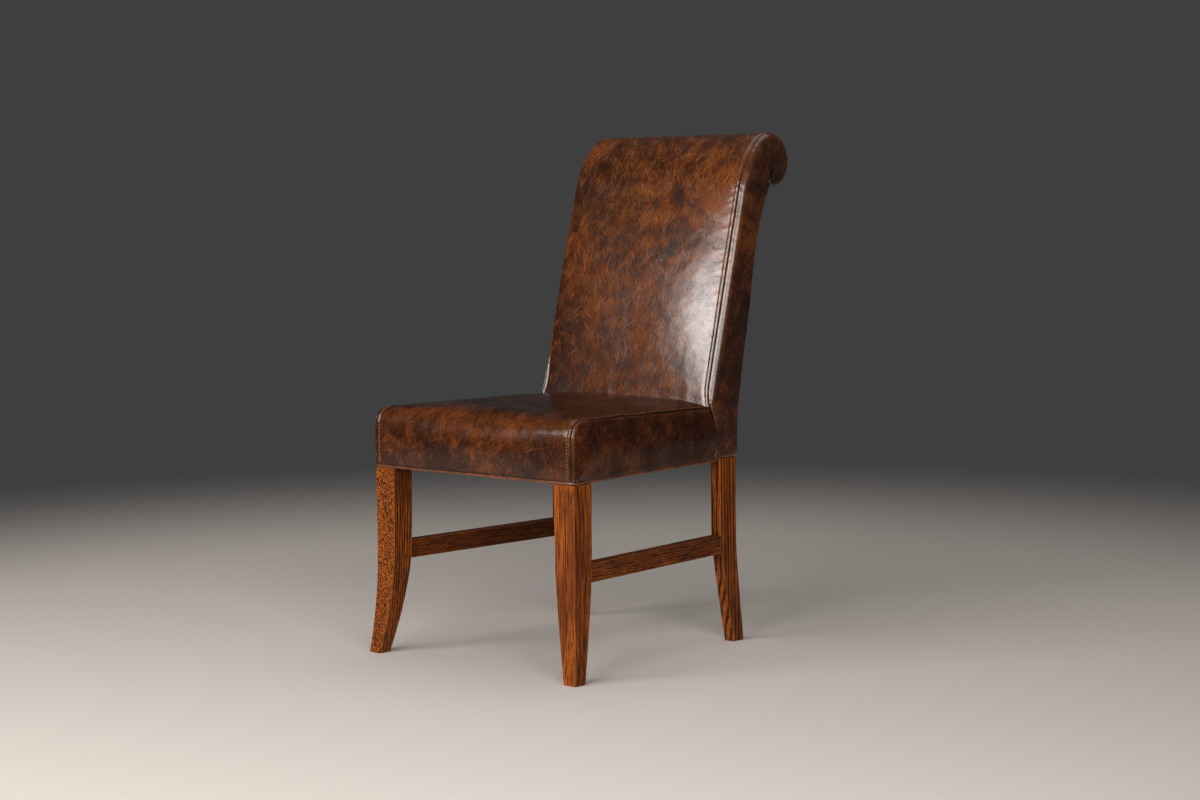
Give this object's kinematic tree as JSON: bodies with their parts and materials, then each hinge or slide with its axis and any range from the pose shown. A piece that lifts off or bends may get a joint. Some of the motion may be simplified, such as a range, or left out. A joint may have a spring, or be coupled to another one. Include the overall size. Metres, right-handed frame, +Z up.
{
  "type": "dining chair",
  "caption": "Armless upholstered dining chair with a padded seat, a raked back that scrolls over at the top, flared wooden legs and a stretcher on each side.",
  "frame": {"origin": "middle of the footprint box, on the floor under the feet", "axes": "the chair faces -Y, +X is the sitter's left side, +Z is up"},
  "size_m": [0.5376, 0.7072, 0.9999],
  "materials": {
    "leather": "waxed pull-up leather, hair-fine lighter streaks over dark mottling, glossy where it is stretched",
    "welt_leather": "the same leather folded round a cord, lightly polished on top",
    "stained_wood": "open-grained oak, orange-brown stain, dark pores, satin lacquer, arrises rubbed lighter",
    "frame_wood": "sawn hardwood, unfinished",
    "foam": "cream cut foam under the leather",
    "webbing": "woven jute webbing",
    "backing": "coarse woven backing cloth and board",
    "dust_cloth": "thin black non-woven cloth",
    "steel": "zinc-plated screws"
  },
  "bodies": {
    "root": {"front_leg_left": "stained_wood", "rear_post_left": "stained_wood", "stretcher_left": "stained_wood", "front_leg_right": "stained_wood", "rear_post_right": "stained_wood", "stretcher_right": "stained_wood", "corner_block_front_left": "frame_wood", "corner_block_front_right": "frame_wood", "corner_block_rear_left": "frame_wood", "corner_block_rear_right": "frame_wood", "block_screw_front_left_1": "steel", "block_screw_front_left_2": "steel", "block_screw_front_right_1": "steel", "block_screw_front_right_2": "steel", "block_screw_rear_left_1": "steel", "block_screw_rear_left_2": "steel", "block_screw_rear_right_1": "steel", "block_screw_rear_right_2": "steel", "seat_rail_front": "frame_wood", "seat_rail_rear": "frame_wood", "seat_rail_left": "frame_wood", "seat_rail_right": "frame_wood", "seat_strap_long_1": "webbing", "seat_strap_cross_1": "webbing", "seat_strap_long_2": "webbing", "seat_strap_cross_2": "webbing", "seat_strap_long_3": "webbing", "seat_strap_cross_3": "webbing", "deck_cloth": "backing", "dust_cover": "dust_cloth", "seat_cover_top_front": "leather", "seat_foam": "foam", "seat_cover_side_left": "leather", "seat_cover_side_right": "leather", "back_rail_lower": "frame_wood", "back_rail_upper": "frame_wood", "lap_screw_left_1": "steel", "lap_screw_left_2": "steel", "scroll_cheek_left": "frame_wood", "lap_screw_right_1": "steel", "lap_screw_right_2": "steel", "scroll_cheek_right": "frame_wood", "scroll_batten_1": "frame_wood", "scroll_batten_2": "frame_wood", "scroll_batten_3": "frame_wood", "scroll_skin": "backing", "back_strap_1": "webbing", "back_strap_2": "webbing", "back_strap_3": "webbing", "back_strap_4": "webbing", "back_foam": "foam", "outside_back_padding": "foam", "back_cover_inside": "leather", "back_cover_outside": "leather", "back_cover_side_left": "leather", "back_cover_side_right": "leather", "bottom_welt": "welt_leather"}
  },
  "joints": []
}
